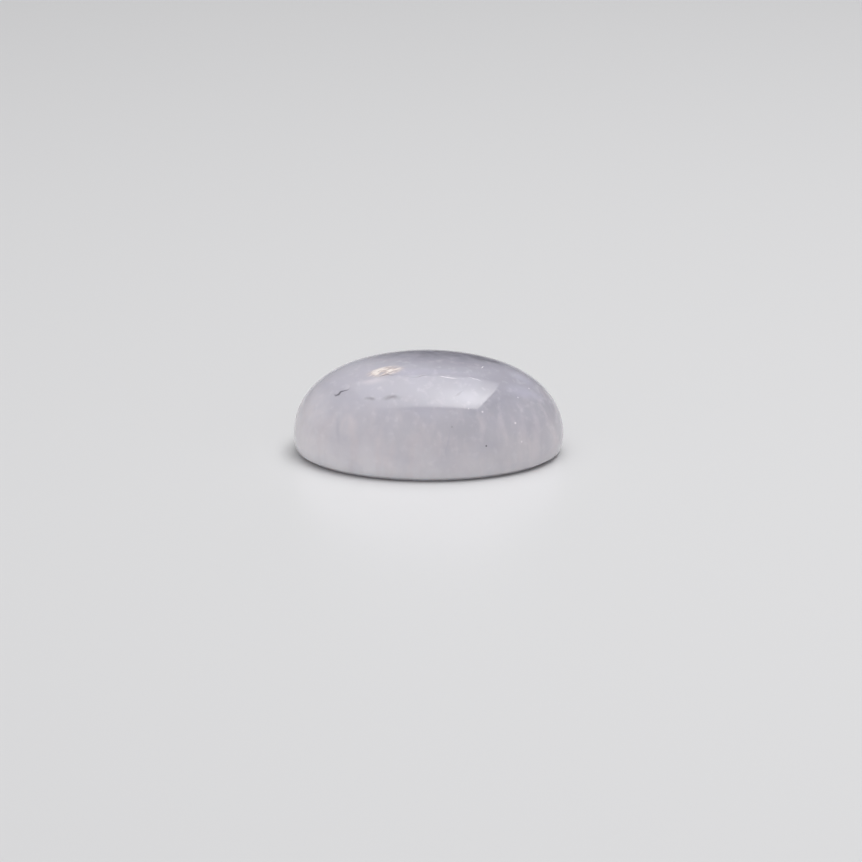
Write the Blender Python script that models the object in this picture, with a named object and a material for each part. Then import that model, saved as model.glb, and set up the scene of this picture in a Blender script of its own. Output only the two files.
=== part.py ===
"""A polished oval moonstone cabochon: one loose stone with a high dome, a low wall and a flat base.

The stone lies on its base on the XY plane, with its length along X and its width along Y.
"""

import math

import bmesh
import bpy

# Driving dimensions, in metres
LENGTH = 0.018
WIDTH = 0.013
HEIGHT = 0.00665
GIRDLE_HEIGHT = 0.00125  # the level at which the outline is widest
CORNER_HEIGHT = 0.0003  # where the wall meets the bevel round the base
CORNER_INSET = 0.0002  # that corner's distance inside the girdle, at the ends of the length
BASE_INSET = 0.0007  # the flat base's distance inside the girdle, at the ends of the length
DOME_FULLNESS = 0.08  # how much the dome's shoulders swell past a plain ellipse
CROWN_LEAN = 0.00016  # how far the crown leans to the left of the middle

# How finely the curves are cut into flats
SEGMENTS = 128
DOME_RINGS = 22
WALL_RINGS = 4
MERGE_DISTANCE = 1e-7

# Finish, as linear colour: milky white with a cool lavender cast
STONE_COLOUR = (0.55, 0.51, 0.57, 1.0)
POLISH_ROUGHNESS = 0.08
FELDSPAR_IOR = 1.52
SUBSURFACE_WEIGHT = 0.6
SUBSURFACE_RADIUS = (1.0, 0.9, 1.0)
SUBSURFACE_SCALE = 0.0015


def wall_point(share):
    """A point on the wall, from its corner with the bevel (0) up to the girdle (1)."""
    inset = CORNER_INSET * (1 - share) ** 2
    height = CORNER_HEIGHT + (GIRDLE_HEIGHT - CORNER_HEIGHT) * share
    return LENGTH / 2 - inset, height


def dome_point(share):
    """A point on the dome, from the girdle (0) up to the crown (1)."""
    angle = share * math.pi / 2
    across, up = math.cos(angle), math.sin(angle)
    reach = across * (1 + DOME_FULLNESS * up**2)
    rise = up * (1 + DOME_FULLNESS * across**2)
    return LENGTH / 2 * reach, GIRDLE_HEIGHT + (HEIGHT - GIRDLE_HEIGHT) * rise


def half_profile():
    """The stone's section in the XZ plane, from the rim of the flat base up to the crown."""
    base_rim = (LENGTH / 2 - BASE_INSET, 0.0)
    wall = [wall_point(i / WALL_RINGS) for i in range(WALL_RINGS)]
    dome = [dome_point(i / DOME_RINGS) for i in range(DOME_RINGS + 1)]
    return [base_rim] + wall + dome


def stone_material():
    """The polished, milky body of the stone."""
    material = bpy.data.materials.new("moonstone")
    material.use_nodes = True
    shader = material.node_tree.nodes["Principled BSDF"]
    shader.inputs["Base Color"].default_value = STONE_COLOUR
    shader.inputs["Metallic"].default_value = 0.0
    shader.inputs["Roughness"].default_value = POLISH_ROUGHNESS
    shader.inputs["IOR"].default_value = FELDSPAR_IOR
    shader.inputs["Subsurface Weight"].default_value = SUBSURFACE_WEIGHT
    shader.inputs["Subsurface Radius"].default_value = SUBSURFACE_RADIUS
    shader.inputs["Subsurface Scale"].default_value = SUBSURFACE_SCALE
    material.diffuse_color = STONE_COLOUR
    return material


def spin_profile(bm):
    """Turn the half profile once round Z, and close the base with one flat face."""
    points = [bm.verts.new((reach, 0.0, height)) for reach, height in half_profile()]
    lines = [bm.edges.new(pair) for pair in zip(points, points[1:])]
    bmesh.ops.spin(
        bm,
        geom=points + lines,
        cent=(0.0, 0.0, 0.0),
        axis=(0.0, 0.0, 1.0),
        angle=2 * math.pi,
        steps=SEGMENTS,
    )
    bmesh.ops.remove_doubles(bm, verts=bm.verts[:], dist=MERGE_DISTANCE)
    rim = [edge for edge in bm.edges if edge.is_boundary]
    bmesh.ops.contextual_create(bm, geom=rim)


def make_oval(bm):
    """Narrow the round form to the stone's width, and lean its crown a little to the left."""
    bmesh.ops.scale(bm, vec=(1.0, WIDTH / LENGTH, 1.0), verts=bm.verts[:])
    for vert in bm.verts:
        share = max(vert.co.z - GIRDLE_HEIGHT, 0.0) / (HEIGHT - GIRDLE_HEIGHT)
        vert.co.x -= CROWN_LEAN * share**2


def build_moonstone():
    """The whole stone as one closed body."""
    bm = bmesh.new()
    spin_profile(bm)
    make_oval(bm)
    bmesh.ops.recalc_face_normals(bm, faces=bm.faces[:])
    mesh = bpy.data.meshes.new("moonstone")
    bm.to_mesh(mesh)
    bm.free()
    mesh.shade_smooth()
    mesh.set_sharp_from_angle(angle=math.radians(25))
    mesh.materials.append(stone_material())
    stone = bpy.data.objects.new("moonstone", mesh)
    bpy.context.scene.collection.objects.link(stone)
    return stone


def main():
    for old in list(bpy.data.objects):
        bpy.data.objects.remove(old, do_unlink=True)
    build_moonstone()


main()
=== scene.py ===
"""The looks of a polished moonstone cabochon: its milky stone, a plain studio and a camera.

The frame is in metres. The places and sizes of the marks and noises in the stone are in millimetres.
"""

import math

import bpy
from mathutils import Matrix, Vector


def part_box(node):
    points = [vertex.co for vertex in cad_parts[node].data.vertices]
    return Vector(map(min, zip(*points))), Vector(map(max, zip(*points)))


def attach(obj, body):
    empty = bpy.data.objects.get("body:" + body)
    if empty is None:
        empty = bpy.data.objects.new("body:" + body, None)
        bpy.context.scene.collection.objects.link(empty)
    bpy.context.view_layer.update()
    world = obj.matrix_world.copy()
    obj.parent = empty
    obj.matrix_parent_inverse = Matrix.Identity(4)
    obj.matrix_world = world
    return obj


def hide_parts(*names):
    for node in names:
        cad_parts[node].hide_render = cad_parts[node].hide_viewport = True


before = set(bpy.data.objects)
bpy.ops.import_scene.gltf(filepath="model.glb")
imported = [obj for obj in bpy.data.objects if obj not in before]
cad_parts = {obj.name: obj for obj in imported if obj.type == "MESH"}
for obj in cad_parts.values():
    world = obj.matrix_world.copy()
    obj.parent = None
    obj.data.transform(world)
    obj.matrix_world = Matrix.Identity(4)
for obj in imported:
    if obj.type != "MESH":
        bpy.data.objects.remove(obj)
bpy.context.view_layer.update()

MM = 0.001

# The stone's form, as the solid has it. Its length, width and height are read from the frame
GIRDLE_HEIGHT = 1.25 * MM  # the level at which the outline is widest
CORNER_HEIGHT = 0.3 * MM  # where the wall meets the bevel round the base
CORNER_INSET = 0.2 * MM  # that corner's distance inside the girdle, at the ends of the length
BASE_INSET = 0.7 * MM  # the flat base's distance inside the girdle, at the ends of the length
DOME_FULLNESS = 0.08  # how much the dome's shoulders swell past a plain ellipse
CROWN_LEAN = 0.16 * MM  # how far the crown leans to the left of the middle

# How its fine mesh is laid out
SEGMENTS = 256
RINGS = 160
WALL_SHARE = 0.35  # of the rings below the girdle, the share down to the corner
BEVEL_SHARE = 0.6  # and the share down to the rim of the flat base
CORNER_SMOOTHING = 3  # rounds of smoothing
TINY = 1e-9  # keeps a division clear of zero at the poles

# The slight unevenness of a hand polish
RIPPLE = 0.005 * MM
RIPPLE_LENGTH = 3.0 * MM
RIPPLE_DETAIL = 1.0
RIPPLE_SEED = 4.0

# The camera, from the fit of the stone's outline
CAMERA_ELEVATION = math.radians(18.7)
CAMERA_DISTANCE = 0.300
CAMERA_AIM = Vector((0.16, -0.323, 1.546)) * MM
CAMERA_CLIP = (0.01, 20.0)
LENS = 187.9
SENSOR = 36.0

# The studio: one large softbox overhead, whose edges show in the dome, in an evenly lit room
SOFTBOX_HEIGHT = 0.30
SOFTBOX_SPAN_X = (-0.62, 0.54)  # its edges and its bulb are given as shares of its height
SOFTBOX_SPAN_Y = (-0.40, 0.75)
BULB = (0.38, -0.06)
SOFTBOX_PEAK = 7.0  # its radiance at the bulb
SOFTBOX_FALLOFF = 0.38  # how far from the bulb that halves
ROOM_COLOUR = (1.0, 1.0, 1.0)
ROOM_FRONT = 0.55  # the strength of its light from the camera's side
ROOM_BACK = 0.2  # and from the far side
ROOM_TURN = 0.8  # one becomes the other between this share of the way back and as far forward
FLOOR_SIZE = 4.0
FLOOR_DROP = 0.01 * MM
FLOOR_COLOUR = (0.70, 0.70, 0.71)
FLOOR_ROUGHNESS = 0.3

# The polish, which ends at the edge of the base, and the way light spreads in the milky stone
POLISH_ROUGHNESS = 0.06
POLISH_VARIATION = 0.02
BASE_DULLNESS = 0.3
BASE_EDGE = (0.25, 0.02)  # the polish is whole at the first height and gone at the second
FELDSPAR_IOR = 1.52
SUBSURFACE_WEIGHT = 0.85
SUBSURFACE_RADIUS = (1.0, 0.9, 0.86)
SUBSURFACE_SCALE = 1.8 * MM

# The stone's colours, as linear light
WHITE_MILK = (0.90, 0.865, 0.90)
GREY_MILK = (0.68, 0.655, 0.69)
# Painted shade: the upper dome's lavender, darkened towards the top
SHADED_UPPER_LEFT = (0.53, 0.515, 0.575)
SHADED_UPPER_RIGHT = (0.375, 0.365, 0.42)
ROSE_MILK = (0.74, 0.68, 0.71)
HAZE = (0.50, 0.49, 0.57)
# Painted sheen: a pale lavender glow
PAINTED_SHEEN_LAVENDER = (0.56, 0.55, 0.66)
# Painted shade: the crown's dark lavender
SHADED_DEEP_LAVENDER = (0.155, 0.15, 0.195)
# A smoky dark for a crack and a speck, and also the crown's deepest painted shade
SMOKE_AND_SHADE = (0.09, 0.085, 0.11)
# A dark grey for cracks and a speck, and also painted shade in the grey finger below the flash
DARK_GREY_AND_SHADE = (0.24, 0.225, 0.25)
# Painted reflection: the cream and amber of the fracture's flash
PAINTED_FLASH_CREAM = (0.88, 0.83, 0.80)
PAINTED_FLASH_AMBER = (0.62, 0.50, 0.44)

# Noises in the stone: the sizes of their features along X, Y and Z, their seed and their detail
UNEVENNESS = ((1.8, 1.8, 1.8), 3.0, 3.0)
BANDS = ((0.8, 0.8, 5.0), 5.0, 3.0)
CLOUDS = ((2.2, 2.2, 2.2), 7.0, 3.0)
CURDS = ((0.55, 0.55, 0.55), 11.0, 5.0)
MOTTLE = ((0.9, 0.7, 0.9), 19.0, 4.0)
STREAKS = ((0.55, 0.16, 0.5), 23.0, 4.0)
POLISH_MARKS = ((0.5, 0.5, 0.5), 31.0, 3.0)
NOISE_MIDDLE = 0.5

# The noises' values between which their patches come in
BAND_EDGES = (0.45, 0.7)
CLOUD_EDGES = (0.42, 0.7)
CURD_EDGES = (0.5, 0.75)
MOTTLE_EDGES = (0.35, 0.62)
AMBER_EDGES = (0.3, 0.5)
CREAM_EDGES = (0.42, 0.62)

# How strongly they show
BAND_STRENGTH = 0.4
CLOUD_STRENGTH = 0.3
CURD_STRENGTH = 0.2
AMBER_STRENGTH = 0.75

# Where the body's colour turns; from the foot to the top it is painted shade, darker higher up
LEFT_TO_RIGHT = (-9.0, 9.5)
FOOT_TO_SHADED_TOP = (0.2, 5.0)
UNEVEN_HEIGHT = 2.0  # how far up and down the unevenness moves that turn
BAND_HEIGHTS = (5.2, 3.6)  # the upright bands come in from the first height down to the second

# Soft ellipsoids of the body and of the crown's painted shade: centre, half axes and strength
LEFT_MILK = ((-7.6, -2.6, 2.6), (2.4, 3.4, 2.8), 0.55)
# Painted shade: the crown darkened, darkest behind its top
PAINTED_SHADE_CROWN = ((0.9, 2.0, 6.4), (7.6, 4.6, 2.0), 0.7)
PAINTED_SHADE_CROWN_MOTTLE = 0.3
PAINTED_SHADE_CROWN_DEEPEST = ((3.9, 0.8, 6.2), (1.5, 0.9, 1.0), 0.7)

# The flash of the fracture, a painted reflection, with turns in degrees
PAINTED_FLASH_CENTRE = (-2.85, -1.9, 6.2)
PAINTED_FLASH_RADII = (1.5, 0.75, 0.8)
PAINTED_FLASH_TURN = (0, 0, 6)
STREAK_TURN = (0, 0, 24)

# Veils, with the painted sheen and shade among them, and cracks follow a gently bent space
BEND = 0.7
BENDS_PER_MM = 0.9

# How much of a mark's radius is at full strength
PAINTED_FLASH_CORE = 0.35
CRACK_CORE = 0.3
SPECK_CORE = 0.2

# Soft veils, among them painted sheen and painted shade: centre, half axes, turn about X, Y and Z in
# degrees, strength and colour
VEILS_SHEEN_AND_SHADE = (
    ((-3.7, -2.75, 5.95), (1.4, 0.5, 0.6), (0, 0, -12), 0.45, ROSE_MILK),
    # Painted shade: the grey finger below the flash, standing in for a break in the softbox's reflection
    ((-2.4, -4.4, 5.25), (1.15, 0.35, 0.42), (0, 12, 8), 0.75, DARK_GREY_AND_SHADE),
    ((-3.9, -4.15, 5.05), (0.7, 0.3, 0.22), (0, 0, 8), 0.6, DARK_GREY_AND_SHADE),
    # Painted sheen: pale lavender over the right shoulder and across the front of the crown
    ((6.3, -2.2, 4.9), (2.3, 0.8, 0.75), (0, 22, 25), 0.45, PAINTED_SHEEN_LAVENDER),
    ((6.2, -0.7, 5.4), (1.1, 0.9, 0.7), (0, 30, 0), 0.35, PAINTED_SHEEN_LAVENDER),
    ((0.2, -2.4, 6.4), (5.2, 0.75, 0.5), (0, 0, 0), 0.25, PAINTED_SHEEN_LAVENDER),
    ((-5.0, -4.9, 3.4), (0.5, 0.9, 1.9), (0, -10, 0), 0.5, ROSE_MILK),
    ((-6.0, -4.4, 3.2), (0.3, 0.8, 1.6), (0, -12, 0), 0.35, HAZE),
    ((1.25, -6.1, 2.8), (0.1, 0.9, 1.6), (0, 2, 0), 0.4, HAZE),
)

# Cracks and hair lines: thin ellipsoids, given as the veils are
CRACKS = (
    ((-5.7, -2.85, 5.05), (0.85, 0.5, 0.07), (0, -24, 8), 0.75, SMOKE_AND_SHADE),
    ((-2.7, -2.5, 6.15), (0.95, 0.07, 0.4), (0, 0, -4), 0.85, DARK_GREY_AND_SHADE),
    ((-0.7, -2.86, 6.2), (1.3, 0.05, 0.4), (0, 0, -3), 0.6, DARK_GREY_AND_SHADE),
    ((1.3, -2.95, 6.15), (0.8, 0.05, 0.4), (0, 0, -4), 0.8, WHITE_MILK),
    ((3.0, -2.7, 6.0), (0.7, 0.05, 0.4), (0, 0, -8), 0.55, WHITE_MILK),
    ((3.67, -1.05, 6.2), (0.35, 0.05, 0.3), (0, 0, 56), 0.9, WHITE_MILK),
    ((2.0, -4.2, 5.45), (0.6, 0.05, 0.5), (0, 0, 34), 0.35, DARK_GREY_AND_SHADE),
)

# Specks: centre, radius, strength and colour. The last is a grain of dust at the right end
SPECKS = (
    ((5.70, -4.43, 3.49), 0.11, 0.9, WHITE_MILK),
    ((3.53, -4.89, 4.42), 0.10, 0.7, WHITE_MILK),
    ((6.12, -4.65, 2.27), 0.10, 0.7, WHITE_MILK),
    ((2.62, -4.97, 4.67), 0.08, 0.7, WHITE_MILK),
    ((3.78, -5.79, 2.36), 0.09, 0.95, SMOKE_AND_SHADE),
    ((1.53, -5.86, 3.70), 0.10, 0.4, DARK_GREY_AND_SHADE),
    ((6.64, -1.55, 4.93), 0.09, 0.6, WHITE_MILK),
    ((5.89, -2.99, 4.78), 0.08, 0.6, WHITE_MILK),
    ((8.98, -0.15, 0.76), 0.11, 0.9, WHITE_MILK),
)

# The kind of a geometry tree's input for each type of value
SOCKET_TYPES = {
    float: "NodeSocketFloat",
    int: "NodeSocketInt",
    bpy.types.Material: "NodeSocketMaterial",
}

# A Mix node's colour sockets, which come after its sockets for numbers and vectors
MIX_FIRST = 6
MIX_SECOND = 7
MIX_RESULT = 2


class Link:
    """An output socket of a node tree. Arithmetic on it adds the Math nodes that work it out."""

    def __init__(self, tree, socket):
        self.tree = tree
        self.socket = socket

    def __add__(self, other):
        return self.tree.number("ADD", self, other)

    def __radd__(self, other):
        return self.tree.number("ADD", other, self)

    def __sub__(self, other):
        return self.tree.number("SUBTRACT", self, other)

    def __rsub__(self, other):
        return self.tree.number("SUBTRACT", other, self)

    def __mul__(self, other):
        return self.tree.number("MULTIPLY", self, other)

    def __rmul__(self, other):
        return self.tree.number("MULTIPLY", other, self)

    def __truediv__(self, other):
        return self.tree.number("DIVIDE", self, other)

    def __rtruediv__(self, other):
        return self.tree.number("DIVIDE", other, self)

    def __pow__(self, other):
        return self.tree.number("POWER", self, other)


class Tree:
    """A node tree, shader or geometry, with one method that adds any node."""

    def __init__(self, tree):
        self.tree = tree

    def node(self, kind, settings=None, inputs=None, output=0):
        """Adds a node: its settings first, then its sockets' values or links. Returns one output."""
        added = self.tree.nodes.new(kind)
        for name, value in (settings or {}).items():
            setattr(added, name, value)
        for key, value in (inputs or {}).items():
            socket = added.inputs[key]
            if isinstance(value, Link):
                self.tree.links.new(value.socket, socket)
            elif isinstance(value, tuple) and socket.type == "RGBA":
                socket.default_value = (*value, 1.0)
            else:
                socket.default_value = value
        return Link(self, added.outputs[output]) if added.outputs else None

    def number(self, operation, *values):
        """A Math node."""
        return self.node("ShaderNodeMath", {"operation": operation}, dict(enumerate(values)))

    def vector(self, operation, *values, output=0):
        """A Vector Math node."""
        settings = {"operation": operation}
        return self.node("ShaderNodeVectorMath", settings, dict(enumerate(values)), output)

    def scaled(self, vector, factor):
        """A vector times one number."""
        return self.node("ShaderNodeVectorMath", {"operation": "SCALE"}, {0: vector, "Scale": factor})

    def split(self, vector):
        """The three parts of a vector."""
        first = self.node("ShaderNodeSeparateXYZ", inputs={0: vector})
        return [Link(self, part) for part in first.socket.node.outputs]

    def share(self, value, start, end, run="LINEAR"):
        """0 where value is at start and 1 where it is at end, with a straight run between them."""
        settings = {"interpolation_type": run}
        inputs = {"Value": value, "From Min": start, "From Max": end}
        return self.node("ShaderNodeMapRange", settings, inputs)

    def fade(self, value, start, end):
        """As share, with a smooth run."""
        return self.share(value, start, end, "SMOOTHSTEP")

    def blend(self, factor, first, second):
        """The first colour at factor 0 and the second at 1."""
        inputs = {0: factor, MIX_FIRST: first, MIX_SECOND: second}
        return self.node("ShaderNodeMix", {"data_type": "RGBA"}, inputs, MIX_RESULT)


def cabochon_point(g, size):
    """Where each point of a unit sphere goes: to the dome, the wall, the bevel or the flat base."""
    x, y, z = g.split(g.node("GeometryNodeInputPosition"))
    up = g.number("MAXIMUM", z, 0.0)
    down = g.number("ARCSINE", g.number("MINIMUM", z, 0.0)) * (-2 / math.pi)
    wall = 1 - g.share(down, 0.0, WALL_SHARE)
    bevel = g.share(down, WALL_SHARE, BEVEL_SHARE)
    base = g.share(down, BEVEL_SHARE, 1.0)

    corner_inset = size["Corner Inset"]
    inset = corner_inset * (1 - wall) ** 2 + (size["Base Inset"] - corner_inset) * bevel
    swell = 1 + size["Dome Fullness"] * up**2
    reach = (1 - up**2) ** 0.5 * swell * (1 - 2 * inset / size["Length"]) * (1 - base)
    rise = up * (1 + size["Dome Fullness"] * (1 - up**2))
    corner_height, girdle_height = size["Corner Height"], size["Girdle Height"]
    level = corner_height * (1 - bevel) + (girdle_height - corner_height) * wall
    across = g.number("MAXIMUM", 1 - z**2, TINY) ** 0.5
    return g.node(
        "ShaderNodeCombineXYZ",
        inputs={
            0: x / across * reach * size["Length"] / 2 - size["Crown Lean"] * rise**2,
            1: y / across * reach * size["Width"] / 2,
            2: level + (size["Height"] - girdle_height) * rise,
        },
    )


def rounded_point(g, size, height):
    """Each point's place, smoothed near the corner between the wall and the bevel."""
    return g.node(
        "GeometryNodeBlurAttribute",
        {"data_type": "FLOAT_VECTOR"},
        {
            "Value": g.node("GeometryNodeInputPosition"),
            "Iterations": CORNER_SMOOTHING,
            "Weight": g.fade(height, size["Girdle Height"], size["Corner Height"]),
        },
    )


def ripple_push(g, size, height):
    """How far each point moves along its normal for the waves of the polish, none at the foot."""
    waves = g.node(
        "ShaderNodeTexNoise",
        {"noise_dimensions": "4D"},
        {
            "Vector": g.node("GeometryNodeInputPosition"),
            "W": size["Ripple Seed"],
            "Scale": 1 / size["Ripple Length"],
            "Detail": RIPPLE_DETAIL,
        },
    )
    polished = g.fade(height, size["Corner Height"], size["Girdle Height"])
    push = (waves - NOISE_MIDDLE) * 2 * size["Ripple"] * polished
    return g.scaled(g.node("GeometryNodeInputNormal"), push)


def cabochon_tree(values):
    """Geometry Nodes that shape a sphere into the stone, with one input for each named value."""
    tree = bpy.data.node_groups.new("polished cabochon", "GeometryNodeTree")
    tree.interface.new_socket("Geometry", in_out="OUTPUT", socket_type="NodeSocketGeometry")
    for name, value in values.items():
        tree.interface.new_socket(name, in_out="INPUT", socket_type=SOCKET_TYPES[type(value)])
    g = Tree(tree)
    size = {name: g.node("NodeGroupInput", output=name) for name in values}
    height = g.split(g.node("GeometryNodeInputPosition"))[2]

    ball = {"Segments": size["Segments"], "Rings": size["Rings"], "Radius": 1.0}
    stone = g.node("GeometryNodeMeshUVSphere", inputs=ball)
    for key, place in (
        ("Position", cabochon_point(g, size)),
        ("Position", rounded_point(g, size, height)),
        ("Offset", ripple_push(g, size, height)),
    ):
        stone = g.node("GeometryNodeSetPosition", inputs={"Geometry": stone, key: place})
    stone = g.node("GeometryNodeSetShadeSmooth", inputs={"Geometry": stone})
    stone = g.node("GeometryNodeRealizeInstances", inputs={"Geometry": stone})
    finished = {"Geometry": stone, "Material": size["Finish"]}
    g.node("NodeGroupOutput", inputs={"Geometry": g.node("GeometryNodeSetMaterial", inputs=finished)})
    return tree


def make_stone(material):
    """The whole stone as one fine mesh, in the place of its solid."""
    low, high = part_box("moonstone")
    values = {
        "Length": high.x - low.x,
        "Width": high.y - low.y,
        "Height": high.z - low.z,
        "Girdle Height": GIRDLE_HEIGHT,
        "Corner Height": CORNER_HEIGHT,
        "Corner Inset": CORNER_INSET,
        "Base Inset": BASE_INSET,
        "Dome Fullness": DOME_FULLNESS,
        "Crown Lean": CROWN_LEAN,
        "Ripple": RIPPLE,
        "Ripple Length": RIPPLE_LENGTH,
        "Ripple Seed": RIPPLE_SEED,
        "Segments": SEGMENTS,
        "Rings": RINGS,
        "Finish": material,
    }
    maker = bpy.data.objects.new("stone maker", bpy.data.meshes.new("stone maker"))
    bpy.context.scene.collection.objects.link(maker)
    modifier = maker.modifiers.new("cabochon", "NODES")
    modifier.node_group = cabochon_tree(values)
    for item in modifier.node_group.interface.items_tree:
        if item.in_out == "INPUT":
            modifier[item.identifier] = values[item.name]
    shaped = maker.evaluated_get(bpy.context.evaluated_depsgraph_get())
    mesh = bpy.data.meshes.new_from_object(shaped)
    bpy.data.objects.remove(maker, do_unlink=True)
    mesh.name = "polished moonstone"
    stone = bpy.data.objects.new("polished_moonstone", mesh)
    bpy.context.scene.collection.objects.link(stone)
    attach(stone, "root")
    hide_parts("moonstone")


def radians(turn):
    """A turn about X, Y and Z, from degrees."""
    return tuple(math.radians(angle) for angle in turn)


def spot(g, point, centre, radii, turn=(0, 0, 0), core=0.0):
    """1 within the core's share of an ellipsoid's radii, and 0 outside the ellipsoid."""
    local = g.node(
        "ShaderNodeMapping",
        {"vector_type": "TEXTURE"},
        {"Vector": point, "Location": centre, "Rotation": radians(turn), "Scale": radii},
    )
    return g.fade(g.vector("LENGTH", local, output="Value"), 1.0, core)


def cloud(g, point, sizes, seed, detail):
    """A soft noise about 0.5, with features of the three sizes."""
    return g.node(
        "ShaderNodeTexNoise",
        {"noise_dimensions": "4D"},
        {"Vector": g.vector("DIVIDE", point, sizes), "W": seed, "Scale": 1.0, "Detail": detail},
    )


def body_colour_and_shade(g, point):
    """White and milky at the foot and greyer to the right, with rosy bands, and painted shade: greyer,
    darker lavender higher up.
    """
    x, _, z = g.split(point)
    foot = g.blend(g.fade(x, *LEFT_TO_RIGHT), WHITE_MILK, GREY_MILK)
    shaded_upper = g.blend(g.fade(x, *LEFT_TO_RIGHT), SHADED_UPPER_LEFT, SHADED_UPPER_RIGHT)
    level = z + (cloud(g, point, *UNEVENNESS) - NOISE_MIDDLE) * UNEVEN_HEIGHT
    # Painted shade: darker and greyer from the foot towards the top
    colour = g.blend(g.share(level, *FOOT_TO_SHADED_TOP), foot, shaded_upper)

    centre, radii, strength = LEFT_MILK
    colour = g.blend(spot(g, point, centre, radii) * strength, colour, WHITE_MILK)
    bands = g.fade(cloud(g, point, *BANDS), *BAND_EDGES) * g.fade(z, *BAND_HEIGHTS)
    colour = g.blend(bands * BAND_STRENGTH, colour, ROSE_MILK)
    clouds = g.fade(cloud(g, point, *CLOUDS), *CLOUD_EDGES)
    colour = g.blend(clouds * CLOUD_STRENGTH, colour, HAZE)
    curds = g.fade(cloud(g, point, *CURDS), *CURD_EDGES)
    return g.blend(curds * CURD_STRENGTH, colour, WHITE_MILK)


def painted_crown_shade(g, point, colour):
    """The crown painted a darker lavender as painted shade, mottled and darkest behind its top."""
    mottle = g.fade(cloud(g, point, *MOTTLE), *MOTTLE_EDGES)
    centre, radii, strength = PAINTED_SHADE_CROWN
    dark = spot(g, point, centre, radii) * (strength + PAINTED_SHADE_CROWN_MOTTLE * mottle)
    colour = g.blend(dark, colour, SHADED_DEEP_LAVENDER)
    centre, radii, strength = PAINTED_SHADE_CROWN_DEEPEST
    return g.blend(spot(g, point, centre, radii) * mottle * strength, colour, SMOKE_AND_SHADE)


def painted_flash_colour(g, point, colour):
    """The cream and orange flash of the fracture, a painted reflection, streaked up to the right."""
    place = spot(g, point, PAINTED_FLASH_CENTRE, PAINTED_FLASH_RADII, PAINTED_FLASH_TURN, PAINTED_FLASH_CORE)
    turned = g.node(
        "ShaderNodeMapping",
        {"vector_type": "TEXTURE"},
        {"Vector": point, "Rotation": radians(STREAK_TURN)},
    )
    streaks = cloud(g, turned, *STREAKS)
    amber = place * g.fade(streaks, *AMBER_EDGES) * AMBER_STRENGTH
    colour = g.blend(amber, colour, PAINTED_FLASH_AMBER)
    return g.blend(place * g.fade(streaks, *CREAM_EDGES), colour, PAINTED_FLASH_CREAM)


def bent_space(g, point):
    """The point, drifting a little from place to place, so that veils, painted sheen and shade, and
    cracks aren't straight.
    """
    waves = {"Vector": point, "Scale": BENDS_PER_MM}
    drift = g.node("ShaderNodeTexNoise", inputs=waves, output="Color")
    drift = g.vector("SUBTRACT", drift, (NOISE_MIDDLE, NOISE_MIDDLE, NOISE_MIDDLE))
    return g.vector("ADD", point, g.scaled(drift, BEND))


def stone_finish():
    """Milky translucent feldspar under a glassy polish, with its veils and cracks, painted shade and
    sheen, and the fracture's flash as a painted reflection.
    """
    material = bpy.data.materials.new("polished moonstone")
    material.use_nodes = True
    material.node_tree.nodes.clear()
    g = Tree(material.node_tree)
    point = g.scaled(g.node("ShaderNodeTexCoord", output="Object"), 1 / MM)
    bent = bent_space(g, point)

    # Painted shade: the body and its crown darker towards the top
    colour = painted_crown_shade(g, point, body_colour_and_shade(g, point))
    # Painted sheen and painted shade are among the veils
    for centre, radii, turn, strength, tint in VEILS_SHEEN_AND_SHADE:
        colour = g.blend(spot(g, bent, centre, radii, turn) * strength, colour, tint)
    # Painted reflection: the fracture's flash
    colour = painted_flash_colour(g, point, colour)
    for centre, radii, turn, strength, tint in CRACKS:
        colour = g.blend(spot(g, bent, centre, radii, turn, CRACK_CORE) * strength, colour, tint)
    for centre, radius, strength, tint in SPECKS:
        mark = spot(g, point, centre, (radius, radius, radius), core=SPECK_CORE)
        colour = g.blend(mark * strength, colour, tint)

    dullness = BASE_DULLNESS * g.fade(g.split(point)[2], *BASE_EDGE)
    shader = g.node(
        "ShaderNodeBsdfPrincipled",
        {"subsurface_method": "RANDOM_WALK"},
        {
            "Base Color": colour,
            "Roughness": POLISH_ROUGHNESS + dullness + POLISH_VARIATION * cloud(g, point, *POLISH_MARKS),
            "IOR": FELDSPAR_IOR,
            "Subsurface Weight": SUBSURFACE_WEIGHT,
            "Subsurface Radius": SUBSURFACE_RADIUS,
            "Subsurface Scale": SUBSURFACE_SCALE,
        },
    )
    g.node("ShaderNodeOutputMaterial", inputs={"Surface": shader})
    return material


def floor_finish():
    """A pale satin board."""
    material = bpy.data.materials.new("pale board")
    material.use_nodes = True
    shader = material.node_tree.nodes["Principled BSDF"]
    shader.inputs["Base Color"].default_value = (*FLOOR_COLOUR, 1.0)
    shader.inputs["Roughness"].default_value = FLOOR_ROUGHNESS
    return material


def make_floor():
    """The plain floor, a hair below the stone's base."""
    mesh = bpy.data.meshes.new("floor")
    half = FLOOR_SIZE / 2
    corners = [(-half, -half), (half, -half), (half, half), (-half, half)]
    mesh.from_pydata([(x, y, -FLOOR_DROP) for x, y in corners], [], [(0, 1, 2, 3)])
    mesh.materials.append(floor_finish())
    floor = bpy.data.objects.new("floor", mesh)
    bpy.context.scene.collection.objects.link(floor)


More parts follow.
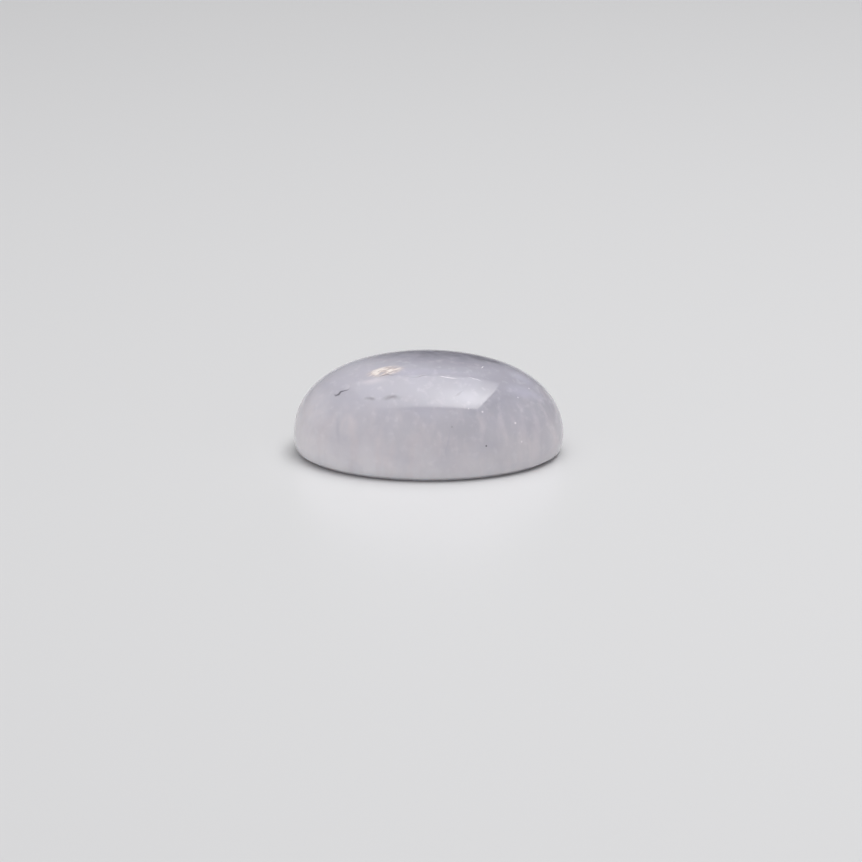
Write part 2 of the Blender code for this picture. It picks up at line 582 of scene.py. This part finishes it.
def make_softbox():
    """The large light overhead, brightest at its bulb."""
    height = SOFTBOX_HEIGHT
    (left, right), (front, back) = SOFTBOX_SPAN_X, SOFTBOX_SPAN_Y
    data = bpy.data.lights.new("softbox", "AREA")
    data.shape = "RECTANGLE"
    data.size = (right - left) * height
    data.size_y = (back - front) * height
    data.energy = math.pi * data.size * data.size_y  # so that a strength of 1 is a radiance of 1
    data.use_nodes = True
    g = Tree(data.node_tree)
    place = g.node("ShaderNodeNewGeometry", output="Position")
    bulb = (BULB[0] * height, BULB[1] * height, height)
    distance = g.vector("DISTANCE", place, bulb, output="Value") / (SOFTBOX_FALLOFF * height)
    glow = SOFTBOX_PEAK / (1 + distance**2)
    data.node_tree.links.new(glow.socket, data.node_tree.nodes["Emission"].inputs["Strength"])
    lamp = bpy.data.objects.new("softbox", data)
    lamp.location = ((left + right) / 2 * height, (front + back) / 2 * height, height)
    bpy.context.scene.collection.objects.link(lamp)


def make_room():
    """Soft light from all round, stronger from the camera's side."""
    world = bpy.data.worlds.new("room")
    world.use_nodes = True
    g = Tree(world.node_tree)
    backwards = g.split(g.node("ShaderNodeTexCoord", output="Generated"))[1]
    strength = ROOM_BACK + (ROOM_FRONT - ROOM_BACK) * g.fade(backwards, ROOM_TURN, -ROOM_TURN)
    background = world.node_tree.nodes["Background"]
    background.inputs["Color"].default_value = (*ROOM_COLOUR, 1.0)
    world.node_tree.links.new(strength.socket, background.inputs["Strength"])
    bpy.context.scene.world = world


def make_camera():
    """The camera, at the height and distance from which the stone's outline fits."""
    data = bpy.data.cameras.new("camera")
    data.lens = LENS
    data.sensor_width = SENSOR
    data.clip_start, data.clip_end = CAMERA_CLIP
    camera = bpy.data.objects.new("camera", data)
    back = Vector((0.0, -math.cos(CAMERA_ELEVATION), math.sin(CAMERA_ELEVATION)))
    camera.location = CAMERA_AIM + back * CAMERA_DISTANCE
    camera.rotation_euler = (math.pi / 2 - CAMERA_ELEVATION, 0.0, 0.0)
    bpy.context.scene.collection.objects.link(camera)
    bpy.context.scene.camera = camera


make_camera()
make_stone(stone_finish())
make_floor()
make_softbox()
make_room()
bpy.context.scene.view_settings.view_transform = "Standard"
